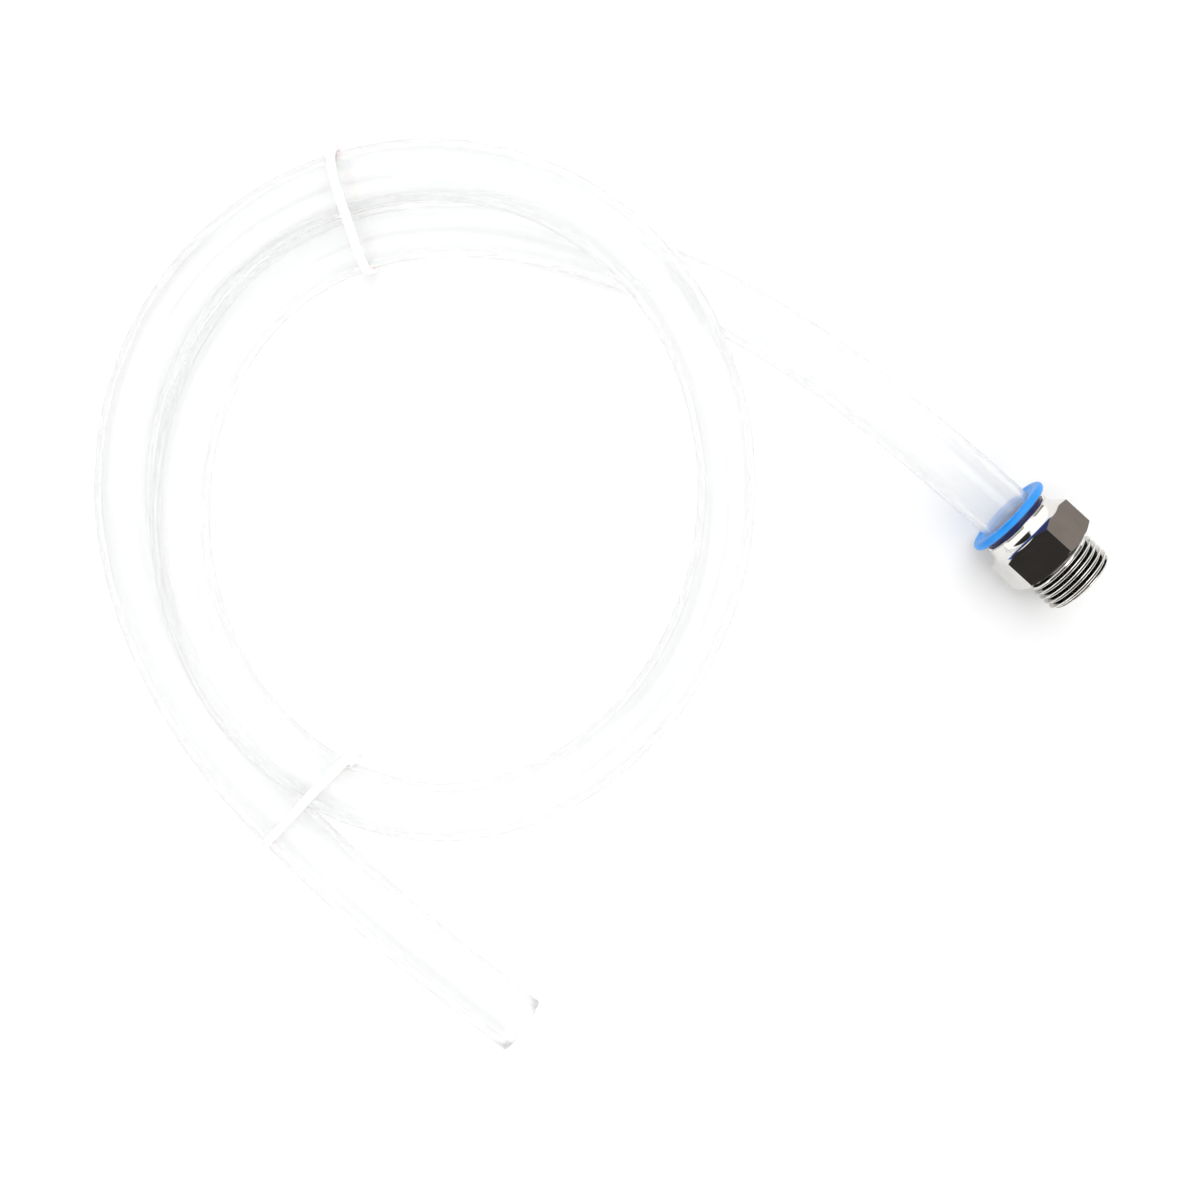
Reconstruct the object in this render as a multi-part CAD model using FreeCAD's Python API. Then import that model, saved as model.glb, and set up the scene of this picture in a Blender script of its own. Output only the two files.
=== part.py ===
import FreeCAD, Part
import math
import os

from FreeCAD import Matrix, Placement, Vector

# A length of clear hose with a push-in threaded connector on one end. It lies in a loose coil of one
# and a half turns, held by two cable ties. Millimetres, +Z up. The coil lies on the plane Z = 0, and
# the frame's origin is the middle of the whole object's footprint on that plane.

# Hose
HOSE_RADIUS = 8.0          # a 16 mm tube
BORE_RADIUS = 6.0          # 12 mm inside
INSERTED = 20.5            # how far the hose goes in, from the release ring's face
END_LENGTH = 20.0          # the straight free end that takes another fitting
ARC_SHARE = 0.45           # how much of the shorter run each bend of the route may take up

# The coil: radius and height of the hose's middle line at each step round it, anticlockwise from the
# start angle. It starts under its own second turn, goes once round, climbs over itself and carries on
# outside the first turn.
COIL_CENTRE = Vector(-40.85, 25.05, 0)
COIL_START = 67.5
COIL_STEP = 22.5
COIL_LINE = [
    (79.5, 8.0), (77.1, 8.8), (77.6, 9.6), (77.1, 8.9), (75.5, 8.8), (74.3, 11.0), (74.9, 15.7), (78.7, 18.1),
    (83.8, 15.6), (86.2, 10.8), (83.3, 8.4), (79.2, 8.0), (76.8, 9.5), (76.5, 14.0), (78.4, 20.5), (82.0, 25.6),
    (86.0, 25.4), (90.0, 20.4), (92.6, 15.4), (93.7, 11.2), (92.9, 8.7), (90.9, 8.0), (89.5, 8.2), (92.3, 9.2),
]

# Where the hose isn't coiled, its route's points are given from the coil's centre. The lead starts in
# the connector, so its first two points follow from the connector's place.
LEAD_RUN = 30.5
LEAD_POINTS = [Vector(123.3, 23.9, 12.6), Vector(101.3, 41.6, 9.6), Vector(69.9, 60.6, 8.0)]
TAIL_POINTS = [Vector(-40.5, -94.2, 9.7), Vector(-10.5, -122.3, 8.0), Vector(20.1, -145.7, 8.0)]

# The connector lies level, resting on a corner of its hexagon. Distances along it are measured from
# the release ring's outer face towards the thread, radii from its axis.
FACE_CENTRE = Vector(153.6, -2.7, 13.9)   # from the coil's centre
CONNECTOR_ANGLE = -42.4                   # of its axis in plan
HEX_ROLL = 26.6                           # of a corner above the horizontal

NECK_START = 3.5
NECK_RADIUS = 10.5
NECK_LINE = 4.0            # a fine turned groove round the neck
NECK_LINE_WIDTH = 0.3
FLARE_START = 4.5
FLARE_RADIUS = 3.7
HEX_START = 7.7
HEX_END = 18.0
HEX_FLATS = 24.0
HEX_CORNER = HEX_FLATS / 2 / math.cos(math.pi / 6)
HEX_FACE_RADIUS = 12.35    # of the turned faces at the hexagon's two ends
HEX_CHAMFER = 0.86
RELIEF_RADIUS = 9.2
RELIEF_END = 19.4
CONNECTOR_END = 28.7
THREAD_RADIUS = 10.4775    # G1/2 parallel pipe thread
THREAD_PITCH = 1.814
THREAD_DEPTH = 1.162
THREAD_HALF_ANGLE = 27.5
THREAD_CREST = 0.3         # flat left on each crest and each root
END_CHAMFER = 1.4
EDGE_BREAK = 0.5
PASSAGE_RADIUS = 6.5
SOCKET_RADIUS = 8.08
SOCKET_END = 20.8
POCKET_RADIUS = 9.55
POCKET_END = 14.6

# Release ring
RING_THICKNESS = 2.3
RING_RADIUS = 12.4
RING_BORE = 8.1
RING_DISH = 0.5            # the outer face is hollowed a little between rim and bore
SLEEVE_RADIUS = 8.85
SLEEVE_END = 8.1
CATCH_RADIUS = 9.15
CATCH_SPAN = (6.9, 7.7)

# What the connector holds inside
GUIDE_LIP = 8.95
GUIDE_LIP_END = 6.6
GUIDE_BORE = 9.25
GUIDE_END = 9.7
GRAB_RIM = (8.9, 9.5)
GRAB_THICKNESS = 0.4
GRAB_TIP_RADIUS = 8.03
GRAB_TIP_REACH = 0.9       # how far the teeth lean towards the thread
GRAB_TEETH = 18
GRAB_SLOT = 0.7
SUPPORT_END = 12.3
SUPPORT_BORE = 8.1
TUBE_SEAL_BORE = 8.02
TUBE_SEAL_SPAN = (12.4, 14.5)
PORT_SEAL_RADIUS = 0.95    # of its section
PORT_SEAL_MIDDLE = 10.3    # of its ring
PORT_SEAL_DEPTH = 1.2      # of its seat in the hexagon's end
PORT_SEAL_SEAT = 11.4

# Cable ties: where each crosses the coil, how far it leans along the hose, its slack round the inner and
# the outer strand, and where its head sits round the bundle
TIE_WIDTH = 2.5
TIE_THICKNESS = 0.9
HEAD_WIDTH = 4.8
HEAD_LENGTH = 5.2
HEAD_HEIGHT = 3.2
HEAD_CHAMFER = 0.4
TIE_REACH = 30.0           # how far to either side of its middle a tie looks for its two strands
UPPER_TIE = {
    "middle": Vector(-26.4, 82.6, 11.0), "angle": 102.0, "lean": 8.0,
    "slack": (0.4, 0.35), "head_at": -28.0, "stub": 4.2,
}
LOWER_TIE = {
    "middle": Vector(-39.8, -83.3, 11.0), "angle": 226.0, "lean": 0.0,
    "slack": (0.75, 0.25), "head_at": 172.0, "stub": 1.2,
}


def in_plan(angle):
    return Vector(math.cos(math.radians(angle)), math.sin(math.radians(angle)), 0)


AXIS = in_plan(CONNECTOR_ANGLE)
FACE_PLACE = COIL_CENTRE + FACE_CENTRE


def coil_points():
    """The coil's points. A point stands outside the line, because the bend at it cuts the corner."""
    outset = 1 / (0.75 + 0.25 * math.cos(math.radians(COIL_STEP)))
    points = []
    for step, (radius, height) in enumerate(COIL_LINE):
        point = COIL_CENTRE + in_plan(COIL_START + step * COIL_STEP) * radius * outset
        points.append(Vector(point.x, point.y, height))
    return points


def route():
    lead = [FACE_PLACE + AXIS * INSERTED, FACE_PLACE + AXIS * (INSERTED - LEAD_RUN)]
    lead += [COIL_CENTRE + point for point in LEAD_POINTS]
    tail = [COIL_CENTRE + point for point in TAIL_POINTS]
    return lead + coil_points() + tail


def bend(before, corner, after):
    """The start, middle and end of the arc that rounds a corner of the route, and its radius."""
    way_in = corner - before
    way_out = after - corner
    reach = ARC_SHARE * min(way_in.Length, way_out.Length)
    half_turn = way_in.getAngle(way_out) / 2
    radius = reach / math.tan(half_turn)
    way_in.normalize()
    way_out.normalize()
    inward = way_out - way_in
    inward.normalize()
    middle = corner + inward * (radius / math.cos(half_turn) - radius)
    return corner - way_in * reach, middle, corner + way_out * reach, radius


def spans(points):
    """One span of the route for each corner, from the middle of one run to the middle of the next.
    The first starts at the first point, and the last stops where the straight free end starts."""
    found = []
    for before, corner, after in zip(points, points[1:], points[2:]):
        arc_start, arc_middle, arc_end, _ = bend(before, corner, after)
        start = points[0] if before is points[0] else (before + corner) * 0.5
        finish = end_cut(points) if after is points[-1] else (corner + after) * 0.5
        found.append([
            Part.LineSegment(start, arc_start).toShape(),
            Part.Arc(arc_start, arc_middle, arc_end).toShape(),
            Part.LineSegment(arc_end, finish).toShape(),
        ])
    return found


def end_cut(points):
    back = points[-2] - points[-1]
    back.normalize()
    return points[-1] + back * END_LENGTH


def tube(edges):
    start = edges[0].valueAt(edges[0].FirstParameter)
    way = edges[0].tangentAt(edges[0].FirstParameter)
    outside = Part.Wire(Part.makeCircle(HOSE_RADIUS, start, way))
    inside = Part.Wire(Part.makeCircle(BORE_RADIUS, start, way))
    path = Part.Wire(edges)
    return path.makePipe(Part.Face(outside)).cut(path.makePipe(Part.Face(inside)))


def hose_pieces():
    """The one hose, as lengths that meet face to face: the lead from the connector, the first turn,
    the outer half turn, the tail and its straight free end."""
    points = route()
    found = spans(points)
    lead_spans = len(LEAD_POINTS) + 1
    turn_spans = round(360 / COIL_STEP)
    first_outer = lead_spans + turn_spans
    first_tail = lead_spans + len(COIL_LINE)
    lengths = {
        "hose_lead": found[:lead_spans],
        "hose_first_turn": found[lead_spans:first_outer],
        "hose_outer_turn": found[first_outer:first_tail],
        "hose_tail": found[first_tail:],
    }
    pieces = {name: tube(sum(parts, [])) for name, parts in lengths.items()}
    end = Part.LineSegment(end_cut(points), points[-1]).toShape()
    pieces["hose_end"] = tube([end])
    report_hose(points, sum(sum(lengths.values(), []), []) + [end], pieces)
    return pieces


def report_hose(points, edges, pieces):
    radii = [bend(*corner)[3] for corner in zip(points, points[1:], points[2:])]
    runs = [(b - a).Length for a, b in zip(points, points[1:])]
    length = sum(edge.Length for edge in edges)
    section = math.pi * (HOSE_RADIUS**2 - BORE_RADIUS**2)
    volume = sum(piece.Volume for piece in pieces.values())
    print("runs", [round(run, 1) for run in runs])
    print("bend radii", [round(radius) for radius in radii])
    print(f"hose {length:.1f} mm long, volume {volume:.0f}, section x length {section * length:.0f}")


def turned(*steps):
    """A solid of revolution about the connector's axis, from an outline of points (distance along the
    axis, radius). A step of two points is an arc through the first to the second."""
    edges = []
    here = Vector(steps[0][1], 0, steps[0][0])
    for step in [*steps[1:], steps[0]]:
        if isinstance(step[0], tuple):
            via, there = (Vector(radius, 0, along) for along, radius in step)
            edges.append(Part.Arc(here, via, there).toShape())
        else:
            there = Vector(step[1], 0, step[0])
            edges.append(Part.LineSegment(here, there).toShape())
        here = there
    face = Part.Face(Part.Wire(edges))
    return face.revolve(Vector(0, 0, 0), Vector(0, 0, 1), 360)


def hexagon_prism():
    corners = [in_plan(60 * side) * HEX_CORNER + Vector(0, 0, HEX_START) for side in range(7)]
    return Part.Face(Part.makePolygon(corners)).extrude(Vector(0, 0, HEX_END - HEX_START))


def thread_groove():
    """The valley of the thread, to cut from a plain shank. It starts in the relief and runs out past the
    shank's end."""
    start = HEX_END + 0.2
    turns_length = CONNECTOR_END + THREAD_PITCH - start
    slope = math.tan(math.radians(THREAD_HALF_ANGLE))
    margin = 0.4
    mouth = THREAD_CREST / 2 + (THREAD_DEPTH + margin) * slope
    root_radius = THREAD_RADIUS - THREAD_DEPTH
    profile = Part.makePolygon([
        Vector(root_radius, 0, start - THREAD_CREST / 2),
        Vector(THREAD_RADIUS + margin, 0, start - mouth),
        Vector(THREAD_RADIUS + margin, 0, start + mouth),
        Vector(root_radius, 0, start + THREAD_CREST / 2),
        Vector(root_radius, 0, start - THREAD_CREST / 2),
    ])
    helix = Part.makeLongHelix(THREAD_PITCH, turns_length, THREAD_RADIUS, 0, False)
    helix.translate(Vector(0, 0, start))
    return Part.Wire(helix.Edges).makePipeShell([profile], True, True)


def connector_body():
    """Nickel-plated brass: neck, hexagon and threaded shank in one, bored through."""
    flare_top = 60
    flare = tuple(
        (
            FLARE_START + FLARE_RADIUS * math.sin(math.radians(turn)),
            NECK_RADIUS + FLARE_RADIUS - FLARE_RADIUS * math.cos(math.radians(turn)),
        )
        for turn in (flare_top / 2, flare_top)
    )
    neck = turned(
        (NECK_START, 0),
        (NECK_START, NECK_RADIUS - 0.4),
        (NECK_START + 0.4, NECK_RADIUS),
        (NECK_LINE, NECK_RADIUS),
        (NECK_LINE + NECK_LINE_WIDTH / 2, NECK_RADIUS - NECK_LINE_WIDTH),
        (NECK_LINE + NECK_LINE_WIDTH, NECK_RADIUS),
        (FLARE_START, NECK_RADIUS),
        flare,
        (HEX_START + 1, HEX_FACE_RADIUS - 1),
        (HEX_START + 1, 0),
    )
    corner_cut = turned(
        (HEX_START, 0),
        (HEX_START, HEX_FACE_RADIUS),
        (HEX_START + HEX_CHAMFER, HEX_CORNER),
        (HEX_END - HEX_CHAMFER, HEX_CORNER),
        (HEX_END, HEX_FACE_RADIUS),
        (HEX_END, 0),
    )
    shank = turned(
        (HEX_END - 1, 0),
        (HEX_END - 1, RELIEF_RADIUS),
        (RELIEF_END, RELIEF_RADIUS),
        (RELIEF_END + THREAD_RADIUS - RELIEF_RADIUS, THREAD_RADIUS),
        (CONNECTOR_END - END_CHAMFER, THREAD_RADIUS),
        (CONNECTOR_END, THREAD_RADIUS - END_CHAMFER),
        (CONNECTOR_END, 0),
    )
    inside = turned(
        (NECK_START, 0),
        (NECK_START, POCKET_RADIUS),
        (POCKET_END, POCKET_RADIUS),
        (POCKET_END, SOCKET_RADIUS),
        (SOCKET_END, SOCKET_RADIUS),
        (SOCKET_END, PASSAGE_RADIUS),
        (CONNECTOR_END - EDGE_BREAK, PASSAGE_RADIUS),
        (CONNECTOR_END, PASSAGE_RADIUS + EDGE_BREAK),
        (CONNECTOR_END, 0),
    )
    seal_seat = turned(
        (HEX_END - PORT_SEAL_DEPTH, RELIEF_RADIUS),
        (HEX_END - PORT_SEAL_DEPTH, PORT_SEAL_SEAT),
        (HEX_END, PORT_SEAL_SEAT),
        (HEX_END, RELIEF_RADIUS),
    )
    threaded = shank.cut(thread_groove())
    body = neck.fuse([hexagon_prism().common(corner_cut)]).cut(seal_seat)
    return body.fuse([threaded]).cut(inside)


def release_ring():
    """Moulded collar that frees the hose when it is pushed in: flange, sleeve and catch."""
    rim = RING_THICKNESS / 2
    return turned(
        (RING_DISH, RING_BORE),
        (RING_DISH, RING_BORE + 1.2),
        (0, RING_RADIUS - rim - 0.6),
        (0, RING_RADIUS - rim),
        ((rim, RING_RADIUS), (RING_THICKNESS, RING_RADIUS - rim)),
        (RING_THICKNESS, SLEEVE_RADIUS),
        (CATCH_SPAN[0], SLEEVE_RADIUS),
        (CATCH_SPAN[0], CATCH_RADIUS),
        (CATCH_SPAN[1], CATCH_RADIUS),
        (SLEEVE_END, SLEEVE_RADIUS - 0.2),
        (SLEEVE_END, RING_BORE),
    )


def collet_guide():
    """Sleeve pressed into the neck: its lip keeps the release ring's catch in."""
    return turned(
        (NECK_START, GUIDE_LIP),
        (NECK_START, POCKET_RADIUS),
        (GUIDE_END, POCKET_RADIUS),
        (GUIDE_END, GUIDE_BORE),
        (GUIDE_LIP_END, GUIDE_BORE),
        (GUIDE_LIP_END, GUIDE_LIP),
    )


def grab_ring():
    """Spring-steel ring whose teeth lean inwards and hold the hose."""
    rim_inside, rim_outside = GRAB_RIM
    far_face = GUIDE_END + GRAB_THICKNESS
    ring = turned(
        (GUIDE_END, rim_inside),
        (GUIDE_END, rim_outside),
        (far_face, rim_outside),
        (far_face, rim_inside),
        (far_face + GRAB_TIP_REACH, GRAB_TIP_RADIUS + 0.15),
        (far_face + GRAB_TIP_REACH - 0.15, GRAB_TIP_RADIUS),
        (GUIDE_END + GRAB_TIP_REACH, GRAB_TIP_RADIUS),
    )
    for tooth in range(GRAB_TEETH):
        slot = Part.makeBox(rim_inside, GRAB_SLOT, 4, Vector(0, -GRAB_SLOT / 2, GUIDE_END - 1))
        slot.rotate(Vector(0, 0, 0), Vector(0, 0, 1), 360 / GRAB_TEETH * tooth)
        ring = ring.cut(slot)
    return ring


def seal_support():
    """Ring between the teeth and the seal, coned where the teeth lean."""
    start = GUIDE_END + GRAB_THICKNESS + 0.05
    return turned(
        (start, GRAB_RIM[0] + 0.3),
        (start, GRAB_RIM[1]),
        (SUPPORT_END, GRAB_RIM[1]),
        (SUPPORT_END, SUPPORT_BORE),
        (SUPPORT_END - 0.6, SUPPORT_BORE),
    )


def tube_seal():
    """Rubber ring squeezed between the hose and the body."""
    start, end = TUBE_SEAL_SPAN
    middle = (start + end) / 2
    round_off = 0.5
    return turned(
        (start, TUBE_SEAL_BORE + round_off),
        ((middle, TUBE_SEAL_BORE), (end, TUBE_SEAL_BORE + round_off)),
        (end, POCKET_RADIUS - round_off),
        ((middle, POCKET_RADIUS - 0.05), (start, POCKET_RADIUS - round_off)),
    )


def port_seal():
    """Rubber ring in the hexagon's end, which seals the parallel thread against its port."""
    middle = HEX_END - PORT_SEAL_DEPTH + PORT_SEAL_RADIUS
    ring = Part.makeTorus(PORT_SEAL_MIDDLE, PORT_SEAL_RADIUS, Vector(0, 0, middle), Vector(0, 0, 1))
    return ring


def connector_pieces():
    pieces = {
        "fitting_body": connector_body(),
        "release_ring": release_ring(),
        "collet_guide": collet_guide(),
        "grab_ring": grab_ring(),
        "seal_support_ring": seal_support(),
        "tube_seal": tube_seal(),
        "port_seal": port_seal(),
    }
    return {name: on_connector(shape) for name, shape in pieces.items()}


def on_connector(shape):
    """Turns a shape made about Z so that it lies along the connector's axis, at its place."""
    sideways = Vector(0, 0, 1).cross(AXIS)
    roll = math.radians(HEX_ROLL)
    first = sideways * math.cos(roll) + Vector(0, 0, 1) * math.sin(roll)
    second = AXIS.cross(first)
    placed = shape.copy()
    placed.Placement = Placement(Matrix(
        first.x, second.x, AXIS.x, FACE_PLACE.x,
        first.y, second.y, AXIS.y, FACE_PLACE.y,
        first.z, second.z, AXIS.z, FACE_PLACE.z,
        0, 0, 0, 1,
    ))
    return placed


def directions(tie):
    """A tie's directions: away from the coil, up its own leaning plane, and square to that plane."""
    outward = in_plan(tie["angle"])
    upright = Vector(0, 0, 1)
    lean = math.radians(tie["lean"])
    up = upright * math.cos(lean) - outward.cross(upright) * math.sin(lean)
    return outward, up, outward.cross(up)


def strands_at(tie, path):
    """Where the two strands cross the tie's plane, the inner one first."""
    middle = COIL_CENTRE + tie["middle"]
    outward, up, _ = directions(tie)
    low, high = middle - outward * TIE_REACH, middle + outward * TIE_REACH
    up *= TIE_REACH
    plane = Part.Face(Part.makePolygon([low - up, high - up, high + up, low + up, low - up]))
    crossings = [vertex.Point for vertex in path.section(plane).Vertexes]
    return sorted(crossings, key=lambda point: (point - low).dot(outward))


def round_two(inner, outer, inner_radius, outer_radius, normal):
    """The outline of a band pulled round two circles side by side, as a face."""
    across = outer - inner
    lean = (inner_radius - outer_radius) / across.Length
    across.normalize()
    side = normal.cross(across) * math.sqrt(1 - lean**2)
    first, second = across * lean + side, across * lean - side
    return Part.Face(Part.Wire([
        Part.LineSegment(inner + first * inner_radius, outer + first * outer_radius).toShape(),
        Part.Arc(
            outer + first * outer_radius, outer + across * outer_radius, outer + second * outer_radius
        ).toShape(),
        Part.LineSegment(outer + second * outer_radius, inner + second * inner_radius).toShape(),
        Part.Arc(
            inner + second * inner_radius, inner - across * inner_radius, inner + first * inner_radius
        ).toShape(),
    ]))


def cable_tie(tie, path):
    """One moulding: a strap pulled round both strands, its head, and the cut end of the strap."""
    inner, outer = strands_at(tie, path)
    outward, up, normal = directions(tie)
    radii = [HOSE_RADIUS + slack for slack in tie["slack"]]
    start = normal * (-TIE_WIDTH / 2)
    strap = round_two(inner + start, outer + start, *(radius + TIE_THICKNESS for radius in radii), normal)
    hollow = round_two(inner + start, outer + start, *radii, normal)
    strap = strap.cut(hollow).extrude(normal * TIE_WIDTH)

    turn = math.radians(tie["head_at"])
    away = outward * math.cos(turn) + up * math.sin(turn)
    held, inside = (outer, radii[1]) if math.cos(turn) > 0 else (inner, radii[0])
    along = normal.cross(away)
    sunk = TIE_THICKNESS / 2
    base = held + away * (inside + sunk)
    head = upright_block(base, away, along, normal, HEAD_HEIGHT - sunk, HEAD_LENGTH, HEAD_WIDTH)
    head = head.makeChamfer(HEAD_CHAMFER, [edge for edge in head.Edges if is_outer(edge, held, inside)])
    stub_start = held + away * (inside + HEAD_HEIGHT - 1)
    stub = upright_block(stub_start, away, along, normal, tie["stub"] + 1, TIE_THICKNESS, TIE_WIDTH)
    return strap.fuse([head, stub]).removeSplitter()


def is_outer(edge, held, inside):
    """Whether both ends of an edge of the head stand clear of the strap's inner face."""
    return all((vertex.Point - held).Length > inside + HEAD_HEIGHT for vertex in edge.Vertexes)


def upright_block(base, away, along, across, height, length, width):
    """A block standing on the middle of its base, whose three edges run along the given directions."""
    corner = base - along * (length / 2) - across * (width / 2)
    sides = [corner, corner + along * length, corner + along * length + across * width, corner + across * width]
    return Part.Face(Part.makePolygon([*sides, corner])).extrude(away * height)


def main():
    pieces = hose_pieces()
    pieces.update(connector_pieces())
    path = Part.Wire(sum(spans(route()), []))
    pieces["upper_cable_tie"] = cable_tie(UPPER_TIE, path)
    pieces["lower_cable_tie"] = cable_tie(LOWER_TIE, path)
    os.makedirs("parts", exist_ok=True)
    for name, shape in pieces.items():
        print(f"{name:20} valid {shape.isValid()}, {len(shape.Solids)} solid, {shape.Volume:.0f} mm3, {span(shape)}")
        shape.exportStep(f"parts/{name}.step")
    print("whole", span(Part.makeCompound(list(pieces.values()))))


def span(shape):
    box = shape.optimalBoundingBox(False)
    return f"X {box.XMin:.2f} {box.XMax:.2f}, Y {box.YMin:.2f} {box.YMax:.2f}, Z {box.ZMin:.2f} {box.ZMax:.2f}"


main()
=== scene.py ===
import math
import bmesh
import bpy
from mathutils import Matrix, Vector


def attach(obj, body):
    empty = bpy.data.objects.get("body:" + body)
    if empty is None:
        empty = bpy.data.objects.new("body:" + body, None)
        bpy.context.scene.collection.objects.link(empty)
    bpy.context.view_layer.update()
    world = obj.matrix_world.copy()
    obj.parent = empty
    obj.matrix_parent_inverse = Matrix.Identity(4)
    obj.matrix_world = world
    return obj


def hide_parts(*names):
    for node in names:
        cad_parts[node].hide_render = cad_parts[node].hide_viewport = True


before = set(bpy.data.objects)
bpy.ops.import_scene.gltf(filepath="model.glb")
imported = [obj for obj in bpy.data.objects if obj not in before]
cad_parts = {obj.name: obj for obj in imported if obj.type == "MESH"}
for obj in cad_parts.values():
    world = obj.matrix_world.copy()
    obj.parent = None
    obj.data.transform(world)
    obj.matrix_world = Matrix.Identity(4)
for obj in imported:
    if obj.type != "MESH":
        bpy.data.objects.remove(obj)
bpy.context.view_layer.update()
print("frame loaded")

mm = 0.001

# the camera looks straight down
camera = {
    "height": 378 * mm, "right": 1.15 * mm, "up": -1.55 * mm,
    "lens": 39.64, "sensor": 36.0, "near": 10 * mm,
}


def makeCamera():
    data = bpy.data.cameras.new("camera")
    data.lens = camera["lens"]
    data.sensor_width = camera["sensor"]
    data.clip_start = camera["near"]
    looker = bpy.data.objects.new("camera", data)
    looker.location = (camera["right"], camera["up"], camera["height"])
    bpy.context.scene.collection.objects.link(looker)
    bpy.context.scene.camera = looker


makeCamera()
print("camera placed")

# A hose of 16 by 12 mm. Its route starts inside the connector, runs under the coil's own second turn,
# goes round one and a half times and ends in a plain cut. Millimetres.
hose = {
    "radius": 8.0, "bore": 6.0, "length": 1039, "inserted": 20.5, "leadRun": 30.5,
    "coilCentre": Vector((-40.85, 25.05, 0)), "coilStart": 67.5, "coilStep": 22.5,
    "sides": 48, "perRun": 16, "cutRound": 0.25,
}
# radius and height of the coil's line at each step
coilLine = [
    (79.5, 8.0), (77.1, 8.8), (77.6, 9.6), (77.1, 8.9), (75.5, 8.8), (74.3, 11.0),
    (74.9, 15.7), (78.7, 18.1), (83.8, 15.6), (86.2, 10.8), (83.3, 8.4), (79.2, 8.0),
    (76.8, 9.5), (76.5, 14.0), (78.4, 20.5), (82.0, 25.6), (86.0, 25.4), (90.0, 20.4),
    (92.6, 15.4), (93.7, 11.2), (92.9, 8.7), (90.9, 8.0), (89.5, 8.2), (92.3, 9.2),
]
# the lead and the tail, from the coil's centre
leadPoints = [(123.3, 23.9, 12.6), (101.3, 41.6, 9.6), (69.9, 60.6, 8.0)]
tailPoints = [(-40.5, -94.2, 9.7), (-10.5, -122.3, 8.0), (20.1, -145.7, 8.0)]
# The connector's face is the release ring's outer face, where the hose leaves it. Its angle is the way from
# there to the thread. A corner of its hexagon stands at roll above the horizontal, in line with the thread's
# start. Distances are from the face, and each fade is how softly a span ends.
connector = {
    "face": Vector((112.75, 22.35, 13.9)), "angle": -42.4, "roll": 26.6,
    "threadStart": 18.2, "pitch": 1.814, "thread": (18.9, 28.2), "threadFade": 0.3, "rounding": 0.45,
    # the span, its fade and the navy colour below paint shade onto the release ring's back and sleeve, where
    # the gap before the neck is dark
    "paintedShadeSpan": (2.0, 12.0), "paintedShadeFade": 0.25, "paintedShadeColour": (0.0, 0.016, 0.16),
}


def inPlan(angle):
    return Vector((math.cos(math.radians(angle)), math.sin(math.radians(angle)), 0))


along = inPlan(connector["angle"])


def routePoints():
    face, centre = connector["face"], hose["coilCentre"]
    points = [face + along * hose["inserted"], face + along * (hose["inserted"] - hose["leadRun"])]
    points += [centre + Vector(point) for point in leadPoints]
    # a point stands outside the line, because the curve cuts inside it
    outset = 1 / (0.75 + 0.25 * math.cos(math.radians(hose["coilStep"])))
    for step, (radius, height) in enumerate(coilLine):
        outward = inPlan(hose["coilStart"] + step * hose["coilStep"])
        points.append(centre + outward * radius * outset + Vector((0, 0, height)))
    points += [centre + Vector(point) for point in tailPoints]
    return [point * mm for point in points]


def routeLine(points):
    # the route's points are the control points of one smooth spline
    curve = bpy.data.curves.new("hoseRoute", "CURVE")
    curve.dimensions = "3D"
    curve.resolution_u = hose["perRun"]
    spline = curve.splines.new("NURBS")
    spline.points.add(len(points) - 1)
    for control, place in zip(spline.points, points):
        control.co = (*place, 1)
    spline.order_u = 3
    spline.use_endpoint_u = True
    route = bpy.data.objects.new("hoseRoute", curve)
    bpy.context.scene.collection.objects.link(route)
    traced = bpy.data.meshes.new_from_object(route)
    line = [vertex.co.copy() for vertex in traced.vertices]
    bpy.data.meshes.remove(traced)
    bpy.data.objects.remove(route)
    return line


def tangents(line):
    ways = []
    for spot in range(len(line)):
        before, after = line[max(spot - 1, 0)], line[min(spot + 1, len(line) - 1)]
        ways.append((after - before).normalized())
    return ways


def sections(line):
    # each section is a ring round the line, turned as little as possible from the one before
    side = Vector((0, 0, 1))
    found = []
    for place, way in zip(line, tangents(line)):
        side = (side - way * side.dot(way)).normalized()
        found.append((place, side.copy(), way.cross(side), way))
    return found


def mapAlong(mesh, line):
    # u goes once round the hose, v along it in metres; the rings run along the outside, then back inside
    reached = [0.0]
    for before, after in zip(line, line[1:]):
        reached.append(reached[-1] + (after - before).length)
    outside = [reached[0], *reached, reached[-1]]
    places = outside + outside[::-1]
    uv = mesh.uv_layers.new(name="along")
    for face in mesh.polygons:
        steps = [mesh.loops[corner].vertex_index % hose["sides"] for corner in face.loop_indices]
        wraps = max(steps) - min(steps) > 1
        for corner, step in zip(face.loop_indices, steps):
            ring = mesh.loops[corner].vertex_index // hose["sides"]
            turned = step + hose["sides"] if wraps and step == 0 else step
            uv.data[corner].uv = (turned / hose["sides"], places[ring])


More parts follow.
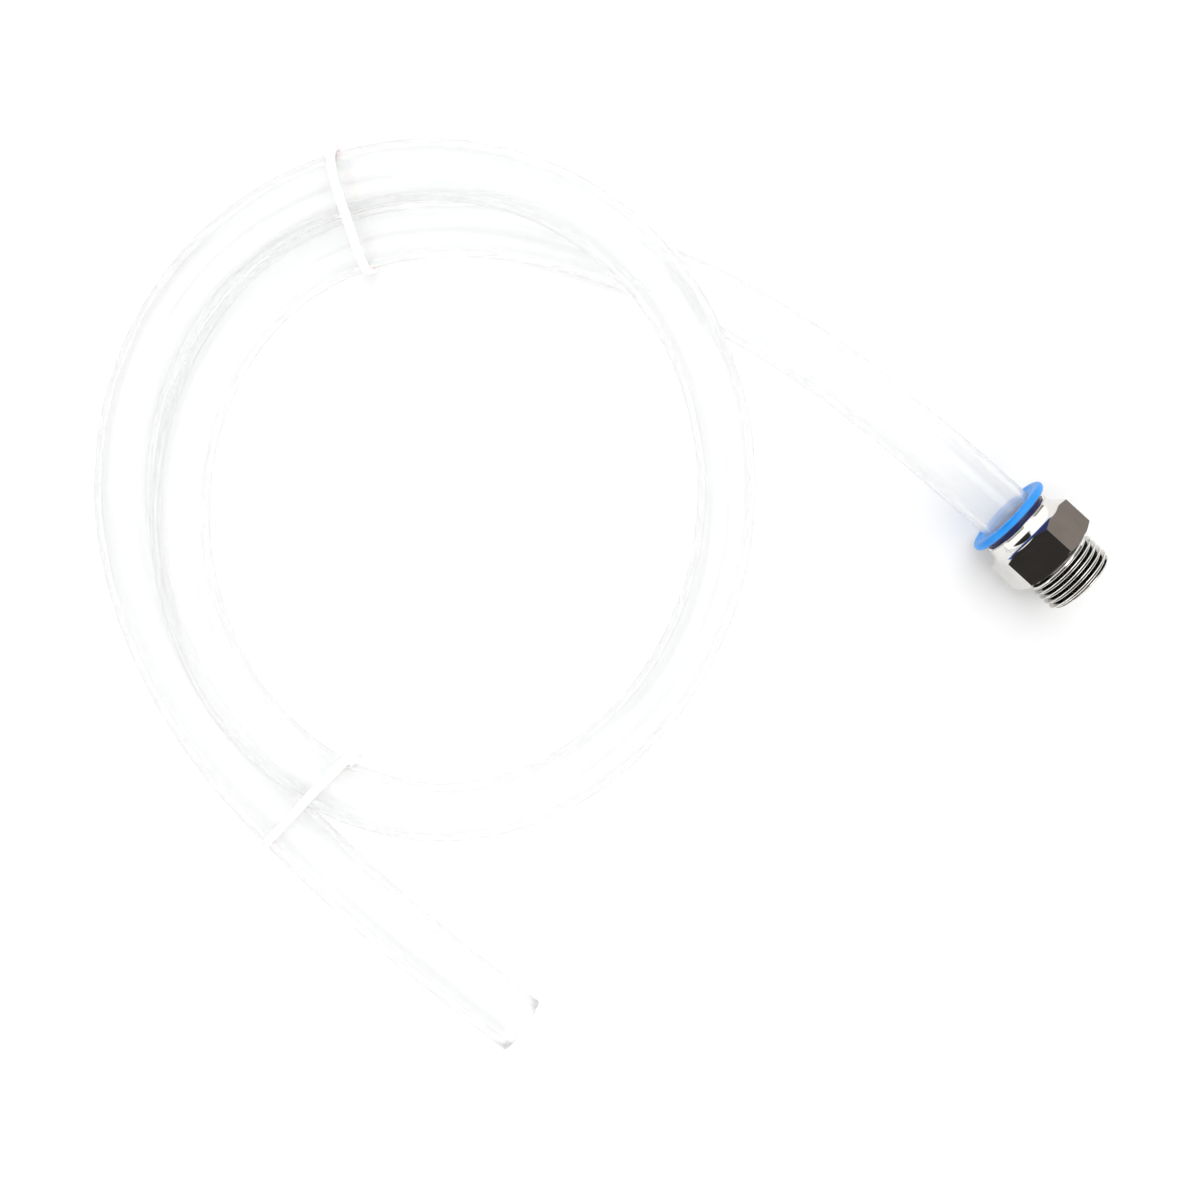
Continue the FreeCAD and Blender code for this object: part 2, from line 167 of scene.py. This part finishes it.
def makeHose(line):
    frames = sections(line)
    outer, inner, rounded = hose["radius"] * mm, hose["bore"] * mm, hose["cutRound"] * mm
    first, last = frames[0], frames[-1]
    # rings: section, radius, shift along the hose
    rings = [(*first, outer - rounded, 0)]
    rings.append((*first, outer, rounded))
    rings += [(*section, outer, 0) for section in frames[1:-1]]
    rings.append((*last, outer, -rounded))
    rings.append((*last, outer - rounded, 0))
    rings.append((*last, inner + rounded, 0))
    rings.append((*last, inner, -rounded))
    rings += [(*section, inner, 0) for section in reversed(frames[1:-1])]
    rings.append((*first, inner, rounded))
    rings.append((*first, inner + rounded, 0))
    made = bmesh.new()
    loops = []
    for place, side, other, way, radius, shift in rings:
        loop = []
        for step in range(hose["sides"]):
            turn = 2 * math.pi * step / hose["sides"]
            loop.append(made.verts.new(
                place + way * shift + (side * math.cos(turn) + other * math.sin(turn)) * radius
            ))
        loops.append(loop)
    for near, far in zip(loops, loops[1:] + loops[:1]):
        for step in range(hose["sides"]):
            after = (step + 1) % hose["sides"]
            made.faces.new((near[step], near[after], far[after], far[step]))
    bmesh.ops.recalc_face_normals(made, faces=made.faces)
    mesh = bpy.data.meshes.new("clear_hose")
    made.to_mesh(mesh)
    made.free()
    mapAlong(mesh, line)
    piece = bpy.data.objects.new("clear_hose", mesh)
    bpy.context.scene.collection.objects.link(piece)
    for face in mesh.polygons:
        face.use_smooth = True
    return piece


def newMaterial(name):
    material = bpy.data.materials.new(name)
    material.use_nodes = True
    tree = material.node_tree
    return material, tree, tree.nodes["Principled BSDF"]


def setInput(tree, socket, value):
    if isinstance(value, bpy.types.NodeSocket):
        tree.links.new(value, socket)
    else:
        socket.default_value = value


def calculate(tree, operation, first, second=0.0):
    node = tree.nodes.new("ShaderNodeMath")
    node.operation = operation
    setInput(tree, node.inputs[0], first)
    setInput(tree, node.inputs[1], second)
    return node.outputs[0]


def alongWay(tree, vector, direction):
    node = tree.nodes.new("ShaderNodeVectorMath")
    node.operation = "DOT_PRODUCT"
    node.inputs[1].default_value = direction
    tree.links.new(vector, node.inputs[0])
    return node.outputs["Value"]


def noise(tree, vector, scale, detail=3.0):
    node = tree.nodes.new("ShaderNodeTexNoise")
    node.inputs["Scale"].default_value = scale
    node.inputs["Detail"].default_value = detail
    tree.links.new(vector, node.inputs["Vector"])
    return node.outputs["Fac"]


def spread(tree, value, low, high):
    # noise stays near its middle, so it is stretched to the given ends
    node = tree.nodes.new("ShaderNodeMapRange")
    node.inputs["From Min"].default_value = 0.3
    node.inputs["From Max"].default_value = 0.7
    node.inputs["To Min"].default_value = low
    node.inputs["To Max"].default_value = high
    tree.links.new(value, node.inputs["Value"])
    return node.outputs["Result"]


def blend(tree, factor, first, second):
    node = tree.nodes.new("ShaderNodeMix")
    node.data_type = "RGBA"
    for name, value in (("Factor", factor), ("A", first), ("B", second)):
        socket = next(found for found in node.inputs if found.name == name and found.enabled)
        setInput(tree, socket, (*value, 1) if isinstance(value, tuple) else value)
    return next(found for found in node.outputs if found.enabled)


def bump(tree, height):
    # the height is in millimetres
    node = tree.nodes.new("ShaderNodeBump")
    node.inputs["Distance"].default_value = mm
    tree.links.new(height, node.inputs["Height"])
    return node.outputs["Normal"]


def within(tree, value, low, high, soft):
    # 1 between low and high, fading to 0 over soft on both sides
    masks = []
    for fromMin, fromMax in ((low - soft, low), (high + soft, high)):
        ramp = tree.nodes.new("ShaderNodeMapRange")
        ramp.interpolation_type = "SMOOTHSTEP"
        ramp.inputs["From Min"].default_value = fromMin
        ramp.inputs["From Max"].default_value = fromMax
        tree.links.new(value, ramp.inputs["Value"])
        masks.append(ramp.outputs["Result"])
    return calculate(tree, "MULTIPLY", *masks)


# noise per metre: wide patches of tone, moulded speckle and turned lines
surfaceGrain = {"patches": 160.0, "speckle": 2600.0, "turned": 5200.0}


def makeGrainGroup():
    # a surface's patches and its grain, with fine lines round the connector's axis where it was turned
    group = bpy.data.node_groups.new("surfaceGrain", "ShaderNodeTree")
    face = group.interface
    face.new_socket("Lines", in_out="INPUT", socket_type="NodeSocketFloat")
    for name in ("Patches", "Grain"):
        face.new_socket(name, in_out="OUTPUT", socket_type="NodeSocketFloat")
    start, end = group.nodes.new("NodeGroupInput"), group.nodes.new("NodeGroupOutput")
    place = group.nodes.new("ShaderNodeTexCoord").outputs["Object"]
    group.links.new(noise(group, place, surfaceGrain["patches"]), end.inputs["Patches"])
    speckle = noise(group, place, surfaceGrain["speckle"])
    turned = group.nodes.new("ShaderNodeTexNoise")
    turned.noise_dimensions = "1D"
    turned.inputs["Scale"].default_value = surfaceGrain["turned"]
    group.links.new(alongWay(group, place, along), turned.inputs["W"])
    lines = calculate(group, "MULTIPLY", turned.outputs["Fac"], start.outputs["Lines"])
    rest = calculate(group, "SUBTRACT", 1.0, start.outputs["Lines"])
    group.links.new(
        calculate(group, "ADD", lines, calculate(group, "MULTIPLY", speckle, rest)), end.inputs["Grain"]
    )
    return group


grainGroup = makeGrainGroup()


def fromFace(tree):
    # a place and its reach along the connector, in millimetres, from the release ring's outer face
    offset = tree.nodes.new("ShaderNodeVectorMath")
    offset.operation = "SUBTRACT"
    offset.inputs[1].default_value = connector["face"] * mm
    tree.links.new(tree.nodes.new("ShaderNodeTexCoord").outputs["Object"], offset.inputs[0])
    place = offset.outputs[0]
    return place, calculate(tree, "DIVIDE", alongWay(tree, place, along), mm)


def threadRounding(tree):
    # a wave that keeps step with the thread rounds its crests and roots
    roll = math.radians(connector["roll"])
    first = inPlan(connector["angle"] + 90) * math.cos(roll) + Vector((0, 0, 1)) * math.sin(roll)
    place, reach = fromFace(tree)
    turn = calculate(tree, "ARCTAN2", alongWay(tree, place, along.cross(first)), alongWay(tree, place, first))
    fromStart = calculate(tree, "SUBTRACT", reach, connector["threadStart"])
    turns = calculate(tree, "MULTIPLY", fromStart, 2 * math.pi / connector["pitch"])
    wave = calculate(tree, "COSINE", calculate(tree, "SUBTRACT", turns, turn))
    mask = within(tree, reach, *connector["thread"], connector["threadFade"])
    return calculate(tree, "MULTIPLY", calculate(tree, "MULTIPLY", wave, mask), -connector["rounding"])


def solidMaterial(name, look):
    # colour wanders between two tones and roughness between two values, over a fine grain
    material, tree, shader = newMaterial(name)
    grain = tree.nodes.new("ShaderNodeGroup")
    grain.node_tree = grainGroup
    grain.inputs["Lines"].default_value = look["lines"]
    patches, fine = grain.outputs["Patches"], grain.outputs["Grain"]
    colour = blend(tree, spread(tree, patches, 0, 1), look["dark"], look["light"])
    if name == "blue_acetal":
        # painted shade: the ring's back and sleeve are painted navy over this span, in place of the shade of
        # the dark gap before the neck
        paintedShadeMask = within(tree, fromFace(tree)[1], *connector["paintedShadeSpan"], connector["paintedShadeFade"])
        colour = blend(tree, paintedShadeMask, colour, connector["paintedShadeColour"])
    tree.links.new(colour, shader.inputs["Base Color"])
    tree.links.new(spread(tree, fine, *look["rough"]), shader.inputs["Roughness"])
    height = calculate(tree, "MULTIPLY", fine, look["depth"])
    if name == "nickel_plate":
        height = calculate(tree, "ADD", height, threadRounding(tree))
    tree.links.new(bump(tree, height), shader.inputs["Normal"])
    shader.inputs["Metallic"].default_value = look["metallic"]
    return material


def passLight(material, tree, shader, tint):
    # lamps and light from the floor pass straight through a clear piece
    clear = tree.nodes.new("ShaderNodeBsdfTransparent")
    clear.inputs["Color"].default_value = (*tint, 1)
    path = tree.nodes.new("ShaderNodeLightPath")
    surface = shader.outputs[0]
    for ray in ("Is Shadow Ray", "Is Diffuse Ray"):
        mix = tree.nodes.new("ShaderNodeMixShader")
        tree.links.new(path.outputs[ray], mix.inputs[0])
        tree.links.new(surface, mix.inputs[1])
        tree.links.new(clear.outputs[0], mix.inputs[2])
        surface = mix.outputs[0]
    tree.links.new(surface, tree.nodes["Material Output"].inputs["Surface"])


# the streaks are noise that is stretched along the hose and repeats round it
clearPlastic = {
    "dark": (0.9, 0.905, 0.907), "light": (0.985, 0.987, 0.987), "rough": (0.1, 0.2),
    "bend": 1.38, "clear": 0.84, "tint": (0.985, 0.986, 0.986),
    "patches": 2.2, "streaks": 12.0, "streakLength": 3.0, "detail": 2.0, "depth": 0.014,
}


def clearHoseMaterial():
    # drawn plastic: faint streaks run along it, from the die it came through
    material, tree, shader = newMaterial("clear_hose")
    place = tree.nodes.new("ShaderNodeUVMap")
    place.uv_map = "along"
    split = tree.nodes.new("ShaderNodeSeparateXYZ")
    tree.links.new(place.outputs["UV"], split.inputs[0])
    turn = calculate(tree, "MULTIPLY", split.outputs["X"], 2 * math.pi)
    around = tree.nodes.new("ShaderNodeCombineXYZ")
    tree.links.new(calculate(tree, "COSINE", turn), around.inputs["X"])
    tree.links.new(calculate(tree, "SINE", turn), around.inputs["Y"])
    reach = calculate(tree, "MULTIPLY", split.outputs["Y"], clearPlastic["streakLength"])
    tree.links.new(reach, around.inputs["Z"])
    broad = noise(tree, around.outputs[0], clearPlastic["patches"], clearPlastic["detail"])
    stretched = tree.nodes.new("ShaderNodeVectorMath")
    stretched.operation = "MULTIPLY"
    stretched.inputs[1].default_value = (clearPlastic["streaks"], clearPlastic["streaks"], 1.0)
    tree.links.new(around.outputs[0], stretched.inputs[0])
    fine = noise(tree, stretched.outputs[0], 1.0, clearPlastic["detail"])
    tone = blend(tree, spread(tree, broad, 0, 1), clearPlastic["dark"], clearPlastic["light"])
    tree.links.new(tone, shader.inputs["Base Color"])
    tree.links.new(spread(tree, fine, *clearPlastic["rough"]), shader.inputs["Roughness"])
    height = calculate(tree, "MULTIPLY", fine, clearPlastic["depth"])
    tree.links.new(bump(tree, height), shader.inputs["Normal"])
    shader.inputs["Transmission Weight"].default_value = clearPlastic["clear"]
    shader.inputs["IOR"].default_value = clearPlastic["bend"]
    passLight(material, tree, shader, clearPlastic["tint"])
    return material


line = routeLine(routePoints())
hosePiece = makeHose(line)
hosePiece.data.materials.append(clearHoseMaterial())
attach(hosePiece, "hose")
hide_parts("hose_lead", "hose_first_turn", "hose_outer_turn", "hose_tail", "hose_end")
print("hose made")

# Each solid material's two tones, its span of roughness, whether it is metal, how far turned lines take the
# place of moulded speckle, and its grain's depth in millimetres
solids = {
    "nickel_plate": {
        "dark": (0.72, 0.7, 0.67), "light": (0.8, 0.785, 0.76),
        "rough": (0.05, 0.1), "metallic": 1.0, "lines": 1.0, "depth": 0.0015,
    },
    "turned_brass": {
        "dark": (0.62, 0.43, 0.19), "light": (0.78, 0.58, 0.3),
        "rough": (0.18, 0.34), "metallic": 1.0, "lines": 1.0, "depth": 0.006,
    },
    "spring_steel": {
        "dark": (0.5, 0.51, 0.53), "light": (0.66, 0.67, 0.69),
        "rough": (0.2, 0.36), "metallic": 1.0, "lines": 0.4, "depth": 0.004,
    },
    "blue_acetal": {
        "dark": (0.0, 0.225, 0.72), "light": (0.002, 0.3, 0.84),
        "rough": (0.28, 0.4), "metallic": 0.0, "lines": 0.0, "depth": 0.006,
    },
    "white_acetal": {
        "dark": (0.76, 0.76, 0.74), "light": (0.86, 0.86, 0.84),
        "rough": (0.34, 0.5), "metallic": 0.0, "lines": 0.2, "depth": 0.006,
    },
    "black_rubber": {
        "dark": (0.012, 0.012, 0.013), "light": (0.028, 0.028, 0.029),
        "rough": (0.45, 0.7), "metallic": 0.0, "lines": 0.0, "depth": 0.015,
    },
    # light spreads inside thin nylon, by glow, over the given distance
    "natural_nylon": {
        "dark": (0.84, 0.845, 0.84), "light": (0.9, 0.902, 0.9),
        "rough": (0.3, 0.48), "metallic": 0.0, "lines": 0.0, "depth": 0.01,
        "glow": 0.5, "glowDistance": 2 * mm,
    },
}
nodesOf = {
    "nickel_plate": ["fitting_body"],
    "turned_brass": ["collet_guide"],
    "spring_steel": ["grab_ring"],
    "blue_acetal": ["release_ring"],
    "white_acetal": ["seal_support_ring"],
    "black_rubber": ["tube_seal", "port_seal"],
    "natural_nylon": ["upper_cable_tie", "lower_cable_tie"],
}


# millimetres and degrees: faces closer than flat are joined into one, edges past sharp are rounded
tie = {"join": 0.01, "flat": 2.0, "edge": 0.14, "segments": 3, "sharp": 35.0}


def makeTie(node):
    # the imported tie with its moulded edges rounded
    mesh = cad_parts[node].data.copy()
    piece = bpy.data.objects.new(node + "_moulded", mesh)
    bpy.context.scene.collection.objects.link(piece)
    bpy.ops.object.select_all(action="DESELECT")
    piece.select_set(True)
    bpy.context.view_layer.objects.active = piece
    bpy.ops.object.mode_set(mode="EDIT")
    bpy.ops.mesh.select_all(action="SELECT")
    bpy.ops.mesh.remove_doubles(threshold=tie["join"] * mm)
    bpy.ops.mesh.dissolve_limited(angle_limit=math.radians(tie["flat"]))
    bpy.ops.mesh.normals_make_consistent(inside=False)
    bpy.ops.object.mode_set(mode="OBJECT")
    rounded = piece.modifiers.new("edges", "BEVEL")
    rounded.width = tie["edge"] * mm
    rounded.segments = tie["segments"]
    rounded.limit_method = "ANGLE"
    rounded.angle_limit = math.radians(tie["sharp"])
    bpy.ops.object.modifier_apply(modifier="edges")
    bpy.ops.object.shade_smooth_by_angle(angle=math.radians(tie["sharp"]))
    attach(piece, "hose")
    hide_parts(node)
    return piece


def clothe(slot, nodes):
    material = solidMaterial(slot, solids[slot])
    if slot == "natural_nylon":
        shader = material.node_tree.nodes["Principled BSDF"]
        shader.inputs["Subsurface Weight"].default_value = solids[slot]["glow"]
        shader.inputs["Subsurface Scale"].default_value = solids[slot]["glowDistance"]
    for node in nodes:
        piece = makeTie(node) if slot == "natural_nylon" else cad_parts[node]
        piece.data.materials.clear()
        piece.data.materials.append(material)


for slot, nodes in nodesOf.items():
    clothe(slot, nodes)
print("materials made")

# Two black cards and a warm grey one stand round the connector, and the nickel mirrors them. Each card spans
# degrees round the connector's axis, up from the horizon on its right, and a reach along that axis.
studio = {
    "floorSize": 30.0, "floorWhite": 0.9, "floorRough": 0.9,
    "lampPower": 1.8, "lampPlace": Vector((0.25, 0.28, 1.1)), "lampSize": 0.9,
    "white": (1.0, 1.0, 1.0), "bright": 1.36,
    "cards": {
        "black": {"degrees": (100, 160), "reach": (0.11, 0.31), "colour": (0.024, 0.022, 0.021)},
        "behind": {"degrees": (100, 160), "reach": (-1.2, -0.6), "colour": (0.024, 0.022, 0.021)},
        "warm": {"degrees": (-25, 56), "reach": (0.08, 0.34), "colour": (0.2, 0.176, 0.162)},
    },
    "degreesFade": 10, "reachFade": 0.05,
}


def makeFloor():
    bpy.ops.mesh.primitive_plane_add(size=studio["floorSize"])
    floor = bpy.context.object
    floor.name = "floor"
    material, _, shader = newMaterial("floor_paper")
    shader.inputs["Base Color"].default_value = (*(studio["floorWhite"],) * 3, 1)
    shader.inputs["Roughness"].default_value = studio["floorRough"]
    floor.data.materials.append(material)


def makeLamp():
    data = bpy.data.lights.new("softbox", "AREA")
    data.size = studio["lampSize"]
    data.energy = studio["lampPower"]
    lamp = bpy.data.objects.new("softbox", data)
    lamp.location = studio["lampPlace"]
    lamp.rotation_euler = lamp.location.to_track_quat("Z", "Y").to_euler()
    bpy.context.scene.collection.objects.link(lamp)


def makeWorld():
    world = bpy.data.worlds.new("studio")
    world.use_nodes = True
    tree = world.node_tree
    view = tree.nodes.new("ShaderNodeTexCoord").outputs["Generated"]
    reach = alongWay(tree, view, along)
    right = alongWay(tree, view, inPlan(connector["angle"] + 90))
    height = alongWay(tree, view, (0, 0, 1))
    angle = calculate(tree, "MULTIPLY", calculate(tree, "ARCTAN2", height, right), math.degrees(1))
    colour = studio["white"]
    for card in studio["cards"].values():
        turned = within(tree, angle, *card["degrees"], studio["degreesFade"])
        reached = within(tree, reach, *card["reach"], studio["reachFade"])
        colour = blend(tree, calculate(tree, "MULTIPLY", turned, reached), colour, card["colour"])
    tree.links.new(colour, tree.nodes["Background"].inputs["Color"])
    tree.nodes["Background"].inputs["Strength"].default_value = studio["bright"]
    bpy.context.scene.world = world


makeFloor()
makeLamp()
makeWorld()
bpy.context.scene.view_settings.view_transform = "Standard"
print("studio made")
